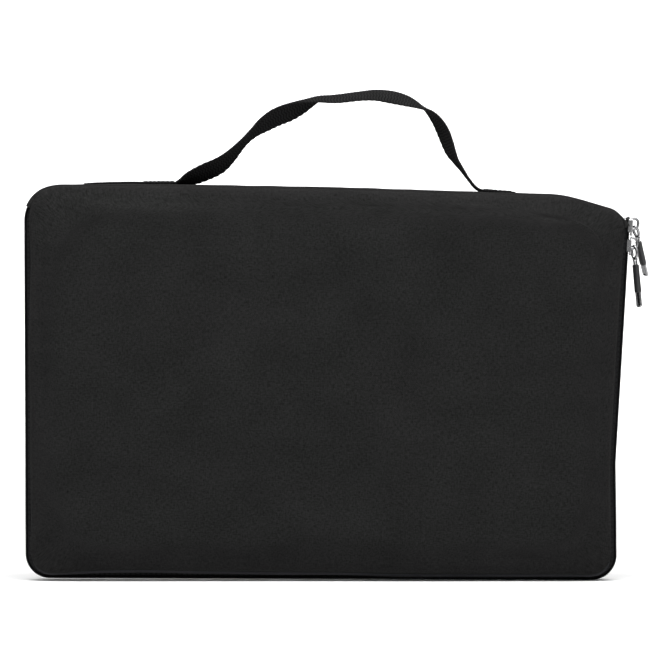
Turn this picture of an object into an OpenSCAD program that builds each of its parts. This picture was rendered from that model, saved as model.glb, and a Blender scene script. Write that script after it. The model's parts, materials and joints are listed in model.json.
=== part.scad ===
// Soft zip-round carrying case: two padded panels, a spine along the top that joins them,
// a zip round the other three sides, and a webbing handle sewn to the spine.
// It stands on its bottom edge. Origin: middle of the bottom. +Z up, front panel at -Y.

/* [Case] */
// Distance from the middle to the left side
left_x = 191; // [150:1:230]
// Distance from the middle to the right side, at the bottom
right_low_x = 190.4; // [150:0.2:230]
// Distance from the middle to the right side where the straight zip run begins
right_mid_x = 189.6; // [150:0.2:230]
// Height at which the straight zip run begins
right_mid_z = 75; // [40:1:110]
// Sideways lean of the right zip run, per millimetre of height
run_lean = 0.06; // [0:0.01:0.08]
// Height of the fold line above the bottom, in the middle
case_h = 252.2; // [240:0.2:260]
// Fall of the top edge towards the right, per millimetre
top_fall = 0.017; // [0:0.001:0.02]
// Thickness of the whole case
case_t = 46; // [42:1:60]

/* [Panels] */
// Clear depth of each half, from the parting plane to the lining
half_depth = 12.2; // [11.5:0.1:13]
// Thickness of the woven outer cover
cover_t = 0.9; // [0.6:0.1:1.2]
// Thickness of the lining
lining_t = 0.6; // [0.4:0.1:0.6]
// Radius of the two bottom corners
bottom_r = 17; // [14:1:24]
// Radius of the top left corner
top_left_r = 16; // [12:1:20]
// Radius of the top right corner of the panels
top_right_r = 24; // [20:1:30]

/* [Zip] */
// Height of the coil above its tape
coil_h = 1.85; // [1.6:0.05:2.2]
// Width of the closed chain
chain_w = 6; // [5.6:0.1:6.4]
// Slit between the two halves of the chain, where a slider's post runs
slit_w = 1.9; // [1.8:0.1:2.2]
// Thickness of the zip tape
tape_t = 0.8; // [0.6:0.1:0.8]
// Height of the upper slider's middle
upper_z = 227; // [224:1:228]
// Distance between the two sliders
slider_gap = 12.5; // [12.5:0.5:18]

/* [Sliders and pulls] */
// Length of a slider along the zip
slider_l = 11.5; // [10:0.5:12]
// Width of a slider across the zip
slider_w = 8.5; // [8.1:0.1:9.5]
// Thickness of a slider's plates
plate_t = 1.2; // [1:0.1:1.4]
// Thickness of a pull's wire
wire_d = 1; // [0.8:0.1:1]
// Width of a pull's eye, to the wire's middle line
eye_w = 4.6; // [4.4:0.1:5.4]
// Length of a pull from its pivot to its tip
pull_l = 40; // [38:0.5:46]
// Length of the rubber sleeve on a pull
sleeve_l = 18; // [14:0.1:20]

/* [Handle] */
// Width of the webbing
webbing_w = 18; // [14:1:20]
// Thickness of the webbing
webbing_t = 1.5; // [1.2:0.1:1.8]
// Left end of the loop, where its sewn run starts
loop_left_x = -92; // [-100:1:-88]
// Right end of the loop, where its sewn run starts
loop_right_x = 102; // [98:1:110]
// Length of the left sewn run
run_left_l = 60; // [40:1:70]
// Length of the right sewn run
run_right_l = 23; // [20:1:40]

/* [Hidden] */

fabric_black = [0.16, 0.16, 0.165];
foam_grey = [0.45, 0.45, 0.46];
lining_grey = [0.22, 0.22, 0.23];
tape_black = [0.1, 0.1, 0.105];
coil_black = [0.06, 0.06, 0.065];
webbing_black = [0.13, 0.13, 0.135];
thread_black = [0.2, 0.2, 0.2];
metal_grey = [0.72, 0.72, 0.74];
rubber_black = [0.08, 0.08, 0.08];

play = 0.1;
corner_steps = 7;
half_t = case_t / 2;
tape_k = coil_h + play;
tape_end_k = tape_k + tape_t;
binding_k = tape_end_k + 0.15;
binding_t = 0.9;
binding_w = 2.6;
tape_depth = half_depth + 0.2;
seam_depth = half_depth + 0.4;
foam_depth = half_depth + lining_t + play;
coil_top_z = upper_z + 5.8;
tape_top_z = upper_z + 7.5;
left_coil_top_z = 240;
left_tape_top_z = 243;
stop_h = 2.2;
top_stop_h = 1.4;
fall_angle = atan(top_fall);
run_angle = atan(run_lean);

// Padded edge of a panel: depth from the parting plane, inset at the sides,
// inset at the bottom and inset at the top.
PANEL_RINGS = [[seam_depth, 3.6, 0, 0.4], [14, 2.6, 0, 0], [17, 3.1, 0.1, 0.8],
               [20, 5.8, 2.8, 3.4], [half_t - 0.8, 10, 7, 9], [half_t, 17, 14, 18]];

// Middle line of the handle's webbing: x, z above the fold line, width, turn about its run.
// A turn of 0 lies flat, and 90 shows its full width to the front.
HANDLE = [[-89.5, 3.6, 4, 0], [-84, 6, 9, 20], [-76, 11, webbing_w, 33], [-66, 17, webbing_w, 35],
          [-57, 24, webbing_w, 25], [-48, 32, webbing_w, 12], [-40, 42, webbing_w, 28],
          [-30, 50.5, webbing_w, 38], [-18, 55, webbing_w, 34], [-5, 57.5, webbing_w, 28],
          [10, 59.5, webbing_w, 27], [25, 61.5, webbing_w, 28], [40, 62.5, webbing_w, 30],
          [54, 60.5, webbing_w, 24], [66, 55, webbing_w, 14], [75, 46, webbing_w, 24],
          [82, 34, webbing_w, 26], [88, 22, webbing_w, 12], [93.5, 12, 9, 4], [98.5, 5, 4, 0]];

// Height of the fold line at a place along the case.
function top_z(x) = case_h - top_fall * x;

// Side of the case on the right zip run, at a height.
function run_x(z) = right_mid_x + run_lean * (z - right_mid_z);

// One rounded corner b between the corners a and c.
function corner(a, b, c, r) =
    let (u = (a - b) / norm(a - b), v = (c - b) / norm(c - b),
         half = acos(u * v) / 2,
         centre = b + (u + v) / norm(u + v) * r / sin(half),
         start = b + u * r / tan(half),
         end = b + v * r / tan(half),
         from = atan2(start[1] - centre[1], start[0] - centre[0]),
         turn = atan2(end[1] - centre[1], end[0] - centre[0]) - from,
         sweep = turn > 180 ? turn - 360 : turn < -180 ? turn + 360 : turn)
    [for (i = [0 : corner_steps])
        centre + r * [cos(from + sweep * i / corner_steps), sin(from + sweep * i / corner_steps)]];

// Outline of the case in X and Z, drawn in by a distance at the sides, bottom and top.
function outline(side, bottom, top, top_right) =
    let (right_top = top_z(run_x(case_h)) - top,
         pts = [[-left_x + side, bottom], [right_low_x - side, bottom],
                [right_mid_x - side, right_mid_z], [run_x(right_top) - side, right_top],
                [-left_x + side, top_z(-left_x) - top]],
         radii = [bottom_r - side, bottom_r - side, 60, top_right - side, top_left_r - side])
    [for (i = [0 : 4], p = corner(pts[(i + 4) % 5], pts[i], pts[(i + 1) % 5], max(radii[i], 1))) p];

// A closed solid through rings of equal point count, each at its own depth behind Y = 0.
module loft(rings, depths) {
    n = len(rings[0]);
    last = (len(rings) - 1) * n;
    polyhedron(
        points = [for (i = [0 : len(rings) - 1], p = rings[i]) [p[0], depths[i], p[1]]],
        faces = concat(
            [[for (i = [0 : n - 1]) n - 1 - i]],
            [for (j = [0 : len(rings) - 2], i = [0 : n - 1], half = [0, 1])
                let (a = j * n + i, b = j * n + (i + 1) % n)
                half == 0 ? [a, b + n, a + n] : [a, b, b + n]],
            [[for (i = [0 : n - 1]) last + i]]));
}

// The padded panel's body, drawn in by a skin and starting at a depth.
module pad(skin, start) {
    rings = [for (r = PANEL_RINGS) outline(r[1] + skin, r[2] + skin, r[3] + skin, top_right_r)];
    depths = [for (i = [0 : len(PANEL_RINGS) - 1])
        i == 0 ? start : min(PANEL_RINGS[i][0], half_t - skin)];
    loft(rings, depths);
}

// A flat sheet of the outline's shape between two depths.
module sheet(side, bottom, top, from, to, top_right) {
    translate([0, to, 0])
        rotate([90, 0, 0])
            linear_extrude(height = to - from)
                polygon(outline(side, bottom, top, top_right));
}

// A band that follows the sides and the bottom, between two insets and two depths.
module band(k, thick, from, to, left_top, right_top) {
    difference() {
        sheet(k, k, k, from, to, 12);
        sheet(k + thick, k + thick, k + thick, from - 1, to + 1, 12);
        translate([-250, from - 2, left_top])
            cube([250, to - from + 4, 50]);
        translate([-1, from - 2, right_top])
            cube([251, to - from + 4, 50]);
    }
}

module cover_half() {
    difference() {
        pad(0, seam_depth);
        pad(cover_t, seam_depth - 1);
    }
}

module foam_half() {
    pad(cover_t + play, foam_depth);
}

module lining_half() {
    sheet(4.8, 3, 3, half_depth, half_depth + lining_t, top_right_r);
}

module binding_half() {
    band(binding_k, binding_t, half_depth - play - binding_w, half_depth - play,
         left_tape_top_z - 3, tape_top_z - 3);
}

module tape_half() {
    band(tape_k, tape_t, slit_w / 2, tape_depth, left_tape_top_z, tape_top_z);
}

module coil_half() {
    band(0, coil_h, slit_w / 2, chain_w / 2, left_coil_top_z, coil_top_z);
}

// A metal stop pressed round the end of the coil on the left side.
module left_stop_half() {
    translate([-left_x - 0.2, slit_w / 2 + play, left_coil_top_z + play])
        cube([coil_h + play, chain_w / 2 - slit_w / 2, stop_h]);
}

// A metal stop above the upper slider, on one half of the chain.
module top_stop_half() {
    translate([run_x(coil_top_z) - coil_h, slit_w / 2 + play, coil_top_z + play])
        cube([coil_h + play, chain_w / 2 - slit_w / 2, top_stop_h]);
}

module back_cover() {
    color(fabric_black) cover_half();
}

module back_foam() {
    color(foam_grey) foam_half();
}

module back_lining() {
    color(lining_grey) lining_half();
}

module back_binding() {
    color(tape_black) binding_half();
}

module back_tape() {
    color(tape_black) tape_half();
}

module back_coil() {
    color(coil_black) coil_half();
}

module back_left_stop() {
    color(metal_grey) left_stop_half();
}

module front_cover() {
    color(fabric_black) mirror([0, 1, 0]) cover_half();
}

module front_foam() {
    color(foam_grey) mirror([0, 1, 0]) foam_half();
}

module front_lining() {
    color(lining_grey) mirror([0, 1, 0]) lining_half();
}

module front_binding() {
    color(tape_black) mirror([0, 1, 0]) binding_half();
}

module front_tape() {
    color(tape_black) mirror([0, 1, 0]) tape_half();
}

module front_coil() {
    color(coil_black) mirror([0, 1, 0]) coil_half();
}

module front_left_stop() {
    color(metal_grey) mirror([0, 1, 0]) left_stop_half();
}

module back_top_stop() {
    color(metal_grey) top_stop_half();
}

module front_top_stop() {
    color(metal_grey) mirror([0, 1, 0]) top_stop_half();
}

// Places children in the frame of the top edge: X along the fold line, Z square to it.
module on_top(x) {
    translate([x, 0, top_z(x)])
        rotate([0, fall_angle, 0])
            children();
}

spine_half_w = half_depth - 0.5;
spine_left_x = -185;
spine_right_x = 181;
spine_foam_t = 3;

module spine_layer(top, thick, trim) {
    on_top(0)
        translate([spine_left_x + trim, -spine_half_w + trim, top - thick])
            cube([spine_right_x - spine_left_x - 2 * trim, 2 * (spine_half_w - trim), thick]);
}

module spine_cover() {
    color(fabric_black) spine_layer(0, cover_t, 0);
}

module spine_foam() {
    color(foam_grey) spine_layer(-cover_t - play, spine_foam_t, 1);
}

module spine_lining() {
    color(lining_grey) spine_layer(-cover_t - spine_foam_t - 2 * play, lining_t, 0);
}

run_left_x = loop_left_x - run_left_l / 2;
run_right_x = loop_right_x + run_right_l / 2;
thread_w = 0.7;
thread_h = 0.35;
stitch_margin = 2;

module sewn_run(x, length) {
    on_top(x)
        translate([-length / 2, -webbing_w / 2, play])
            cube([length, webbing_w, webbing_t]);
}

// A box of stitching with a cross in it, on top of a sewn run.
module box_stitch(x, length) {
    half_l = length / 2 - stitch_margin;
    half_w = webbing_w / 2 - stitch_margin;
    diagonal = 2 * norm([half_l, half_w]) - 2 * thread_w;
    on_top(x)
        translate([0, 0, webbing_t + 2 * play]) {
            for (s = [-1, 1]) {
                translate([0, s * half_w, thread_h / 2])
                    cube([2 * half_l, thread_w, thread_h], center = true);
                translate([s * half_l, 0, thread_h / 2])
                    cube([thread_w, 2 * half_w, thread_h], center = true);
                rotate([0, 0, s * atan2(half_w, half_l)])
                    translate([0, 0, thread_h / 2])
                        cube([diagonal, thread_w, thread_h], center = true);
            }
        }
}

module handle_run_left() {
    color(webbing_black) sewn_run(run_left_x, run_left_l);
}

module handle_run_right() {
    color(webbing_black) sewn_run(run_right_x, run_right_l);
}

module stitch_left() {
    color(thread_black) box_stitch(loop_left_x - 12, 21);
}

module stitch_right() {
    color(thread_black) box_stitch(run_right_x, 19);
}

// Direction of the webbing's run at a station, in X and Z.
function handle_dir(i) =
    let (a = HANDLE[max(i - 1, 0)], b = HANDLE[min(i + 1, len(HANDLE) - 1)],
         d = [b[0] - a[0], b[1] - a[1]])
    d / norm(d);

// The four corners of the webbing's section at a station.
function handle_ring(i) =
    let (s = HANDLE[i], d = handle_dir(i), up = [-d[1], d[0]],
         centre = [s[0], 0, top_z(s[0]) + s[1]],
         wide = [sin(s[3]) * up[0], -cos(s[3]), sin(s[3]) * up[1]] * s[2] / 2,
         thick = [cos(s[3]) * up[0], sin(s[3]), cos(s[3]) * up[1]] * webbing_t / 2)
    [centre + wide + thick, centre - wide + thick, centre - wide - thick, centre + wide - thick];

module handle_webbing() {
    rings = [for (i = [0 : len(HANDLE) - 1]) handle_ring(i)];
    last = (len(rings) - 1) * 4;
    color(webbing_black)
        polyhedron(
            points = [for (r = rings, p = r) p],
            faces = concat(
                [[0, 1, 2, 3]],
                [for (j = [0 : len(rings) - 2], i = [0 : 3], half = [0, 1])
                    let (a = j * 4 + i, b = j * 4 + (i + 1) % 4)
                    half == 0 ? [a, a + 4, b + 4] : [a, b + 4, b]],
                [[last + 3, last + 2, last + 1, last]]));
}

// Room between a slider and the zip that it rides on.
slider_room = 0.3;
plate_in = tape_end_k + slider_room;
flange_end = tape_k - 0.35;
flange_in = chain_w / 2 + slider_room;
post_w = 1.3;
post_l = 3;
post_z = 3;
slider_r = 2;
bail_w = 0.9;
bail_t = 1.1;
bail_hole_h = 3.2;
bail_hole_l = 5.5;
bail_r = 1.2;
bail_z = 2.2;
pivot_z = 0.7;
pivot_x = slider_room + plate_t + bail_hole_h / 2;

// Rounded rectangle as a list of points, centred on the origin.
function rounded(w, h, r) =
    let (p = [[-w / 2, -h / 2], [w / 2, -h / 2], [w / 2, h / 2], [-w / 2, h / 2]])
    [for (i = [0 : 3], q = corner(p[(i + 3) % 4], p[i], p[(i + 1) % 4], r)) q];

// Places children on the right zip run at a height: X outwards, Z up along the zip.
module on_run(z) {
    translate([run_x(z), 0, z])
        rotate([0, run_angle, 0])
            children();
}

// A plate with rounded corners in Y and Z, from one X to another.
module slider_plate(x, thick) {
    translate([x, 0, 0])
        rotate([90, 0, 90])
            linear_extrude(height = thick)
                polygon(rounded(slider_w, slider_l, slider_r));
}

// One slider: outer and inner plate, the flange on the back half's side, the post between
// the plates, and the bail. Its front side is open, so that the front half can swing out.
module slider_body(post_side) {
    union() {
        slider_plate(slider_room, plate_t);
        slider_plate(-plate_in - plate_t, plate_t);
        translate([-flange_end, flange_in, -slider_l / 2 + slider_r])
            cube([flange_end + slider_room + plate_t / 2, slider_w / 2 - flange_in,
                  slider_l - 2 * slider_r]);
        translate([-plate_in - plate_t / 2, -post_w / 2, post_side * post_z - post_l / 2])
            cube([plate_in + slider_room + plate_t, post_w, post_l]);
        translate([pivot_x, bail_w / 2, bail_z])
            rotate([90, 0, 0])
                linear_extrude(height = bail_w)
                    difference() {
                        polygon(rounded(bail_hole_h + 2 * bail_t, bail_hole_l + 2 * bail_t, slider_r));
                        polygon(rounded(bail_hole_h, bail_hole_l, bail_r));
                    }
    }
}

module upper_slider() {
    color(metal_grey) on_run(upper_z) slider_body(-1);
}

module lower_slider() {
    color(metal_grey) on_run(upper_z - slider_gap) slider_body(1);
}

eye_l = 9.5;
leg_x = 0.95;
sleeve_top = 12.4;
tip_w = 4.2;
tip_t = 1.9;
sleeve_w = 4.3;
sleeve_t = 3.6;
slot_w = 1.2;
tip_top = sleeve_top + sleeve_l + play;

// An upright slab in Y and Z through the pull's middle, cut from a flat outline.
module slab(thick) {
    translate([-thick / 2, 0, 0])
        rotate([90, 0, 90])
            linear_extrude(height = thick)
                children();
}

// A pull's eye, legs and slotted tip, hanging down from its pivot, flat in Y and Z.
module pull_frame() {
    eye_mid = wire_d / 2 - eye_l / 2;
    tip_mid = -(tip_top + pull_l) / 2;
    union() {
        slab(wire_d)
            difference() {
                translate([0, eye_mid])
                    polygon(rounded(eye_w + wire_d, eye_l, 2.7));
                translate([0, eye_mid])
                    polygon(rounded(eye_w - wire_d, eye_l - 2 * wire_d, 1.7));
            }
        for (s = [-1, 1])
            translate([-wire_d / 2, s * leg_x - wire_d / 2, -tip_top - 1])
                cube([wire_d, wire_d, tip_top + 1 - eye_l + wire_d]);
        slab(tip_t)
            difference() {
                translate([0, tip_mid])
                    polygon(rounded(tip_w, pull_l - tip_top, 1.9));
                translate([0, tip_mid - 0.8])
                    polygon(rounded(slot_w, pull_l - tip_top - 4, 0.5));
            }
    }
}

module pull_sleeve() {
    difference() {
        translate([0, 0, -sleeve_top - sleeve_l])
            linear_extrude(height = sleeve_l)
                polygon(rounded(sleeve_t, sleeve_w, 1.7));
        translate([0, 0, -sleeve_top - sleeve_l / 2])
            cube([wire_d + play, 2 * leg_x + wire_d + play, sleeve_l + 2], center = true);
    }
}

// Hangs a pull on its slider: swung outwards, leaned along Y and turned about its length.
module hung(z, out, lean, turn) {
    on_run(z)
        translate([pivot_x, 0, pivot_z])
            rotate([0, -run_angle - out, 0])
                rotate([lean, 0, 0])
                    rotate([0, 0, turn])
                        children();
}

upper_out = 17;
upper_lean = 28;
upper_turn = 12;
lower_out = 4;
lower_lean = -4;
lower_turn = 22;

module upper_pull_frame() {
    color(metal_grey) hung(upper_z, upper_out, upper_lean, upper_turn) pull_frame();
}

module upper_pull_sleeve() {
    color(rubber_black) hung(upper_z, upper_out, upper_lean, upper_turn) pull_sleeve();
}

module lower_pull_frame() {
    color(metal_grey) hung(upper_z - slider_gap, lower_out, lower_lean, lower_turn) pull_frame();
}

module lower_pull_sleeve() {
    color(rubber_black) hung(upper_z - slider_gap, lower_out, lower_lean, lower_turn) pull_sleeve();
}

back_cover();
back_foam();
back_lining();
back_binding();
back_tape();
back_coil();
back_left_stop();
back_top_stop();
front_cover();
front_foam();
front_lining();
front_binding();
front_tape();
front_coil();
front_left_stop();
front_top_stop();
spine_cover();
spine_foam();
spine_lining();
handle_run_left();
handle_run_right();
stitch_left();
stitch_right();
handle_webbing();
upper_slider();
lower_slider();
upper_pull_frame();
upper_pull_sleeve();
lower_pull_frame();
lower_pull_sleeve();
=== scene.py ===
import json
import math

import bpy
import numpy as np
from mathutils import Matrix, Vector


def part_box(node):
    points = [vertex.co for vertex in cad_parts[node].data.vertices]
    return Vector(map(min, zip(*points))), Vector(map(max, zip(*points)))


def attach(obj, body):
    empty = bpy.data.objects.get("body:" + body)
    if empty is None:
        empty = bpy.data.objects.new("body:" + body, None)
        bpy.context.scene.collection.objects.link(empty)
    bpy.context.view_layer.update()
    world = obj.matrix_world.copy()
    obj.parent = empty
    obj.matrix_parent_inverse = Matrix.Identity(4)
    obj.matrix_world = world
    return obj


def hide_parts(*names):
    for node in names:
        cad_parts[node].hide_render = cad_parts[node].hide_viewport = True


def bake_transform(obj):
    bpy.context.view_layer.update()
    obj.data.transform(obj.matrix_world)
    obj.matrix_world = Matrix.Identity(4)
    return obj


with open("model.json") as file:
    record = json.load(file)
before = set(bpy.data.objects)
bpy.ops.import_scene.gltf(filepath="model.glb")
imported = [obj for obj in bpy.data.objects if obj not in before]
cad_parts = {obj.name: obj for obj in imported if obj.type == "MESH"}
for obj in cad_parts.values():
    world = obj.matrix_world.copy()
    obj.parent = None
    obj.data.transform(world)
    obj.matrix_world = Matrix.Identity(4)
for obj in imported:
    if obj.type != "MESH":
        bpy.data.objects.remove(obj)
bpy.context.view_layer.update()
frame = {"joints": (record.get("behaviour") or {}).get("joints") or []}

# Everything below is worked out in millimetres and turned into metres when a piece is made.
MM = 0.001
JOINTS = {j["name"]: j for j in frame["joints"]}


def box_mm(node):
    """Lowest and highest corner of a CAD node, in millimetres."""
    low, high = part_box(node)
    return np.array(low) / MM, np.array(high) / MM


# ---- sizes

COIL_LOW, COIL_HIGH = box_mm("back_coil")
COVER_LOW, COVER_HIGH = box_mm("back_cover")
RUN_DIR = np.array(JOINTS["upper_slider_run"]["axis"])
RUN_LEAN = RUN_DIR[0] / RUN_DIR[2]
FOLD_AXIS = np.array(JOINTS["spine_fold"]["axis"])
TOP_FALL = -FOLD_AXIS[2] / FOLD_AXIS[0]
_, FOLD_Y, FOLD_Z = np.array(JOINTS["spine_fold"]["pos_m"]) / MM
STOP_LOW, _ = box_mm("back_top_stop")
LEFT_X = COIL_LOW[0]
HALF_T = COVER_HIGH[1]
SEAM_Y = COVER_LOW[1]
RIGHT_END_Z = STOP_LOW[2] - 0.1
LEFT_END_Z = COIL_HIGH[2]
RUN_TOP_X = COIL_HIGH[0]
RUN_LOW_Z = 75.0
COIL_H = 1.85
CHAIN_HALF_W = COIL_HIGH[1]
TEETH_PITCH = 1.5
WEBBING_W = 18.0
WEBBING_T = 1.5


def run_x(z):
    """X of the zip's outer face on the straight right run."""
    return RUN_TOP_X + RUN_LEAN * (z - RIGHT_END_Z)


def fold_z(x):
    """Height of the fold line of the spine."""
    return FOLD_Z - TOP_FALL * x


def top_z(x):
    """Height of the case's top edge."""
    return fold_z(x) + 0.3


# Corners of the case's outline in X and Z, counter-clockwise from the bottom left, each with its radius.
CORNERS = np.array([[LEFT_X, 0.0], [190.4, 0.0], [run_x(RUN_LOW_Z), RUN_LOW_Z], [run_x(228), 228],
                    [188.5, 237.8], [152.0, top_z(152)], [LEFT_X, top_z(LEFT_X)]])
RADII = np.array([17.0, 16.0, 60.0, 9.0, 12.0, 50.0, 25.0])
BOTTOM_LEFT, BOTTOM_RIGHT, RUN_LOW, RIGHT_TOP, SLOPE, SHOULDER, TOP_LEFT = range(7)
# Edge i runs from corner i to the next one: bottom, right, right, slope, slope, top, left.
ACROSS, UP = 56, 36

# How the soft case strays from straight edges: at X, the top edge's and the bottom edge's shift in Z,
# and at Z, the left edge's shift in X.
TOP_STRAY = np.array([[-192, 0.6], [-184, 0.8], [-166, -1.7], [-154, -0.5], [-120, 0.2], [-78, 0.3],
                      [12, 0.2], [89, -1.0], [141, -1.7], [154, -1.8], [165, -0.3], [175, 0], [200, 0]])
BOTTOM_STRAY = np.array([[-192, 0.4], [-168, 1.3], [-142, 2.5], [-113, 2.9], [-78, 2.0], [-26, 1.4],
                         [12, 1.3], [51, 0.1], [80, 0], [200, 0]])
LEFT_STRAY = np.array([[0, 0.6], [25, 1.0], [50, 0.9], [84, 0], [106, 0.5], [129, -0.2], [151, -0.9],
                       [167, -0.2], [206, 0.9], [228, -0.2], [240, 0], [260, 0]])


# ---- outline

def inset_corners(side, bottom, top):
    """The outline's corners with each edge moved inwards."""
    amount = [bottom, side, side, 0.38 * (side + top), top, top, side]
    n = len(CORNERS)
    lines = []
    for i in range(n):
        a, b = CORNERS[i], CORNERS[(i + 1) % n]
        d = (b - a) / np.linalg.norm(b - a)
        lines.append((a + amount[i] * np.array([-d[1], d[0]]), d))
    moved = []
    for i in range(n):
        (p, d), (q, e) = lines[i - 1], lines[i]
        t = np.linalg.solve(np.array([d, -e]).T, q - p)[0]
        moved.append(p + t * d)
    return np.array(moved)


def arc(a, b, c, r, steps):
    """Points of the rounded corner b between a and c."""
    u = (a - b) / np.linalg.norm(a - b)
    v = (c - b) / np.linalg.norm(c - b)
    half = math.acos(np.clip(u @ v, -1, 1)) / 2
    centre = b + (u + v) / np.linalg.norm(u + v) * r / math.sin(half)
    start = b + u * r / math.tan(half) - centre
    end = b + v * r / math.tan(half) - centre
    from_angle = math.atan2(start[1], start[0])
    sweep = (math.atan2(end[1], end[0]) - from_angle + math.pi) % (2 * math.pi) - math.pi
    angle = from_angle + sweep * np.linspace(0, 1, steps + 1)
    return centre + r * np.stack([np.cos(angle), np.sin(angle)], 1)


def walked_along(line):
    """Length from a line's start to each of its points."""
    return np.concatenate([[0], np.cumsum(np.linalg.norm(np.diff(line, axis=0), axis=1))])


def unit(rows):
    """Each row at length one."""
    return rows / np.linalg.norm(rows, axis=1)[:, None]


def upright(flat, y=0.0):
    """X and Z pairs as points or directions at a depth Y."""
    return np.stack([flat[:, 0], np.broadcast_to(y, len(flat)), flat[:, 1]], 1)


def resample(line, count):
    """The same open line with count equal steps."""
    length = walked_along(line)
    at = np.linspace(0, length[-1], count + 1)
    return np.stack([np.interp(at, length, line[:, k]) for k in range(line.shape[1])], 1)


def sides(side, bottom, top, steps=12):
    """The outline's four sides as dense lines, cut in the middle of the four main corners."""
    corners = inset_corners(side, bottom, top)
    mean = (side + bottom + top) / 3
    n = len(corners)
    arcs = [arc(corners[i - 1], corners[i], corners[(i + 1) % n], max(RADII[i] - mean, 5.0), steps)
            for i in range(n)]
    mid = steps // 2
    lines = [[arcs[BOTTOM_LEFT][mid:], arcs[BOTTOM_RIGHT][:mid + 1]],
             [arcs[BOTTOM_RIGHT][mid:], arcs[RUN_LOW], arcs[RIGHT_TOP][:mid + 1]],
             [arcs[RIGHT_TOP][mid:], arcs[SLOPE], arcs[SHOULDER], arcs[TOP_LEFT][:mid + 1]],
             [arcs[TOP_LEFT][mid:], arcs[BOTTOM_LEFT][:mid + 1]]]
    return [np.concatenate(parts) for parts in lines]


def ring(side, bottom, top, across, up):
    """The closed outline with the same number of points at every inset."""
    counts = [across, up, across, up]
    lines = [resample(line, n)[:-1] for line, n in zip(sides(side, bottom, top), counts)]
    return np.concatenate(lines)


def fill_grid(outline, across, up):
    """Points inside a ring, as a grid that meets it: shape (across + 1, up + 1, 2)."""
    closed = np.concatenate([outline, outline[:1]])
    bottom = closed[:across + 1]
    right = closed[across:across + up + 1]
    top = closed[across + up:2 * across + up + 1][::-1]
    left = closed[2 * across + up:][::-1]
    u = np.linspace(0, 1, across + 1)[:, None, None]
    v = np.linspace(0, 1, up + 1)[None, :, None]
    ruled = (1 - v) * bottom[:, None] + v * top[:, None] + (1 - u) * left[None] + u * right[None]
    flat = ((1 - u) * (1 - v) * bottom[0] + u * (1 - v) * bottom[-1]
            + (1 - u) * v * top[0] + u * v * top[-1])
    return ruled - flat


def rim(across, up):
    """Places round a grid's rim, in the order of a ring's points."""
    return ([(i, 0) for i in range(across)] + [(across, j) for j in range(up)]
            + [(i, up) for i in range(across, 0, -1)] + [(0, j) for j in range(up, 0, -1)])


def circle(count):
    """Angles once round."""
    return np.linspace(0, 2 * math.pi, count, endpoint=False)


def smooth_step(t):
    """From 0 to 1 without corners, as t goes from 0 to 1."""
    t = np.clip(t, 0, 1)
    return t * t * (3 - 2 * t)


def blunt(wave, power):
    """A sine or cosine swollen towards a square wave, for a rounded box's section."""
    return np.sign(wave) * np.abs(wave) ** power


def smooth_table(table, at):
    """A soft curve through a table's points."""
    out = np.zeros_like(np.asarray(at, float))
    for shift in (-9, -4.5, 0, 4.5, 9):
        out += np.interp(np.asarray(at) + shift, table[:, 0], table[:, 1]) / 5
    return out


def stray(points):
    """Moves points of the soft case as its edges stray."""
    out = np.array(points, float)
    x, z = out[:, 0].copy(), out[:, 2].copy()
    out[:, 2] += smooth_table(TOP_STRAY, x) * smooth_step((z - 150) / 80)
    out[:, 2] += smooth_table(BOTTOM_STRAY, x) * smooth_step((110 - z) / 90)
    out[:, 0] += smooth_table(LEFT_STRAY, z) * smooth_step((-60 - x) / 110)
    return out


# ---- meshes

def add_object(name, data):
    """A new object in the scene."""
    thing = bpy.data.objects.new(name, data)
    bpy.context.scene.collection.objects.link(thing)
    return thing


def make_piece(name, shape, material, weave=None, sharp=None):
    """A mesh object from (points in millimetres, faces). weave gives each point's place on the cloth."""
    points, faces = shape
    mesh = bpy.data.meshes.new(name)
    mesh.from_pydata((np.asarray(points) * MM).tolist(), [], [list(map(int, f)) for f in faces])
    mesh.polygons.foreach_set("use_smooth", np.ones(len(mesh.polygons), bool))
    if sharp is not None:
        mesh.set_sharp_from_angle(angle=math.radians(sharp))
    if weave is not None:
        layer = mesh.uv_layers.new(name="weave")
        at = np.zeros(len(mesh.loops), int)
        mesh.loops.foreach_get("vertex_index", at)
        layer.data.foreach_set("uv", (np.asarray(weave).reshape(-1, 2)[at] * MM).astype(np.float32).ravel())
    mesh.materials.append(material)
    return add_object(name, mesh)


def grid_faces(rows, columns, closed=False):
    """Quads between rows of points. closed joins each row's end to its start."""
    i, j = np.meshgrid(np.arange(rows - 1), np.arange(columns if closed else columns - 1), indexing="ij")
    a = i * columns + j
    b = i * columns + (j + 1) % columns
    return np.stack([a, b, b + columns, a + columns], -1).reshape(-1, 4).tolist()


def join_parts(parts):
    """Several (points, faces) as one."""
    points, faces, start = [], [], 0
    for part_points, part_faces in parts:
        points.append(part_points)
        faces += [[v + start for v in f] for f in part_faces]
        start += len(part_points)
    return np.concatenate(points), faces


def cloth_grid(along, across):
    """Places on the cloth for rows of points."""
    return np.stack(np.broadcast_arrays(along[:, None], across[None, :]), -1)


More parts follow.
